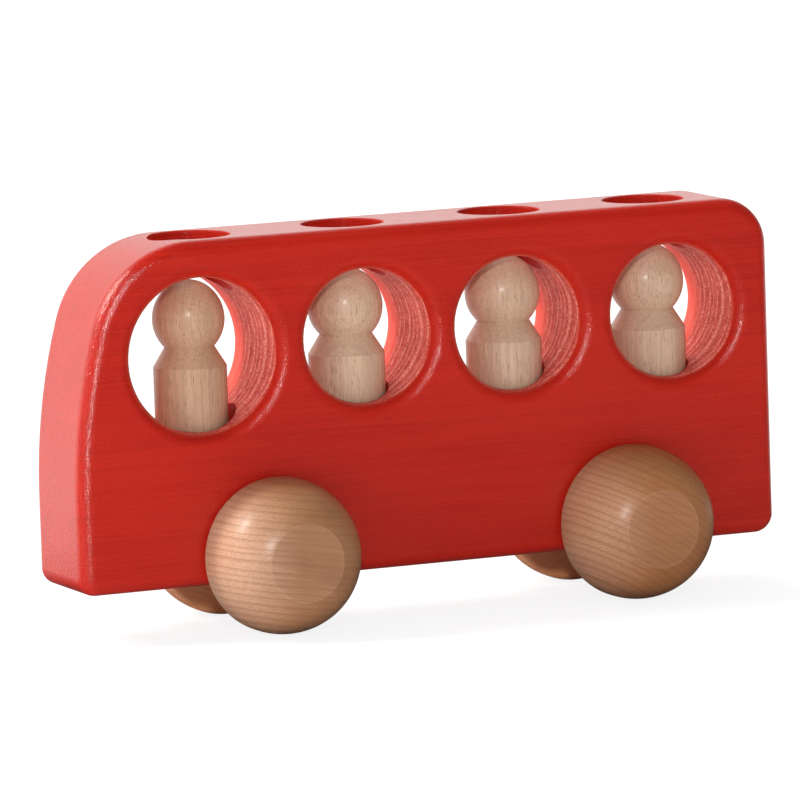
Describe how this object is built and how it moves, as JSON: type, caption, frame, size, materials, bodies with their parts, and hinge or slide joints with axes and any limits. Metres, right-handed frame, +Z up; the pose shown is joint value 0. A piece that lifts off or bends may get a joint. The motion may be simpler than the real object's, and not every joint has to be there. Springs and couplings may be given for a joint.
{
  "type": "toy bus",
  "caption": "Wooden push-along bus with a rounded front, round windows bored through its sides, turned figures that lift out through the roof, and dome-shaped rolling wheels.",
  "frame": {"origin": "on the ground, under the middle of the part's box", "axes": "+X to the front of the bus, +Y to its left side, +Z up"},
  "size_m": [0.27, 0.104, 0.1407],
  "materials": {
    "red_wood": "red stain under satin lacquer",
    "axle_wood": "plain sanded dowel",
    "wheel_wood": "oiled, satin",
    "figure_wood": "clear satin lacquer"
  },
  "bodies": {
    "body": {"bus_body": "red_wood"},
    "front_wheelset": {"front_axle": "axle_wood", "front_left_wheel": "wheel_wood", "front_right_wheel": "wheel_wood"},
    "rear_wheelset": {"rear_axle": "axle_wood", "rear_left_wheel": "wheel_wood", "rear_right_wheel": "wheel_wood"},
    "driver": {"driver": "figure_wood"},
    "passenger_1": {"passenger_1": "figure_wood"},
    "passenger_2": {"passenger_2": "figure_wood"},
    "passenger_3": {"passenger_3": "figure_wood"}
  },
  "joints": [
    {"name": "front_axle_spin", "type": "hinge", "parent": "body", "child": "front_wheelset", "pos_m": [0.062, 0, 0.0278], "axis": [0, 1, 0], "continuous": true},
    {"name": "rear_axle_spin", "type": "hinge", "parent": "body", "child": "rear_wheelset", "pos_m": [-0.0757, 0, 0.0278], "axis": [0, 1, 0], "continuous": true},
    {"name": "driver_lift", "type": "slide", "parent": "body", "child": "driver", "axis": [0, 0, 1], "range_m": [0, 0.09]},
    {"name": "passenger_1_lift", "type": "slide", "parent": "body", "child": "passenger_1", "axis": [0, 0, 1], "range_m": [0, 0.09]},
    {"name": "passenger_2_lift", "type": "slide", "parent": "body", "child": "passenger_2", "axis": [0, 0, 1], "range_m": [0, 0.09]},
    {"name": "passenger_3_lift", "type": "slide", "parent": "body", "child": "passenger_3", "axis": [0, 0, 1], "range_m": [0, 0.09]}
  ]
}
